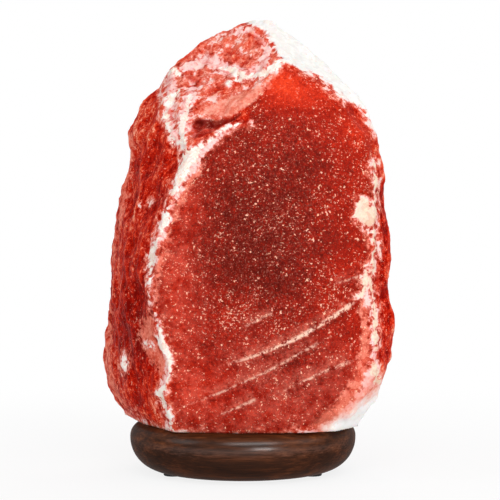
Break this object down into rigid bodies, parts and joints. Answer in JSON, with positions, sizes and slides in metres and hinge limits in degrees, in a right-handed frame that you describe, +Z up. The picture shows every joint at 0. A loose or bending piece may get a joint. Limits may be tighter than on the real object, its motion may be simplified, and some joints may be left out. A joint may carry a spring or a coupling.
{
  "type": "salt crystal lamp",
  "caption": "Rough-hewn block of red-orange rock salt on a round stained wooden base, drilled from below for a small screw bulb in a holder on a spring clip.",
  "frame": {"origin": "floor level on the axis of the wooden base", "axes": "+Z up, and the front, which is the broad face of the rock, towards -Y"},
  "size_m": [0.1484, 0.1146, 0.228],
  "materials": {
    "salt": "satin",
    "stained_wood": "satin",
    "foot_rubber": "matte",
    "plug_plastic": "matte",
    "zinc_steel": "satin",
    "spring_steel": "satin",
    "nipple_brass": "satin",
    "holder_plastic": "matte",
    "bush_plastic": "matte",
    "insert_ceramic": "satin",
    "contact_brass": "satin",
    "bulb_cap_metal": "satin",
    "insulator_glass": "gloss",
    "solder": "satin",
    "clear_glass": "gloss",
    "tungsten": "satin"
  },
  "bodies": {
    "lamp": {"salt_crystal": "salt", "wood_base": "stained_wood", "feet": "foot_rubber", "wall_plugs": "plug_plastic", "screw_washers": "zinc_steel", "base_screws": "zinc_steel"},
    "holder": {"spring_clip": "spring_steel", "nipple": "nipple_brass", "cord_bush": "bush_plastic", "nipple_nut": "nipple_brass", "lock_washer": "zinc_steel", "holder_cap": "holder_plastic", "holder_insert": "insert_ceramic", "holder_sleeve": "holder_plastic", "screw_shell": "contact_brass", "centre_contact": "contact_brass", "side_contact": "contact_brass", "contact_rivet": "contact_brass", "terminal_plates": "contact_brass", "terminal_screws": "zinc_steel"},
    "bulb": {"cap_contact": "solder", "cap_insulator": "insulator_glass", "bulb_cap": "bulb_cap_metal", "bulb_glass": "clear_glass", "bulb_stem": "clear_glass", "lead_wires": "tungsten", "support_wire": "tungsten", "filament": "tungsten"}
  },
  "joints": [
    {"name": "holder_pull", "type": "slide", "parent": "lamp", "child": "holder", "axis": [0, 0, -1], "range_m": [0, 0.095]},
    {"name": "bulb_unscrew", "type": "slide", "parent": "holder", "child": "bulb", "axis": [0, 0, 1], "range_m": [0, 0.02]}
  ]
}
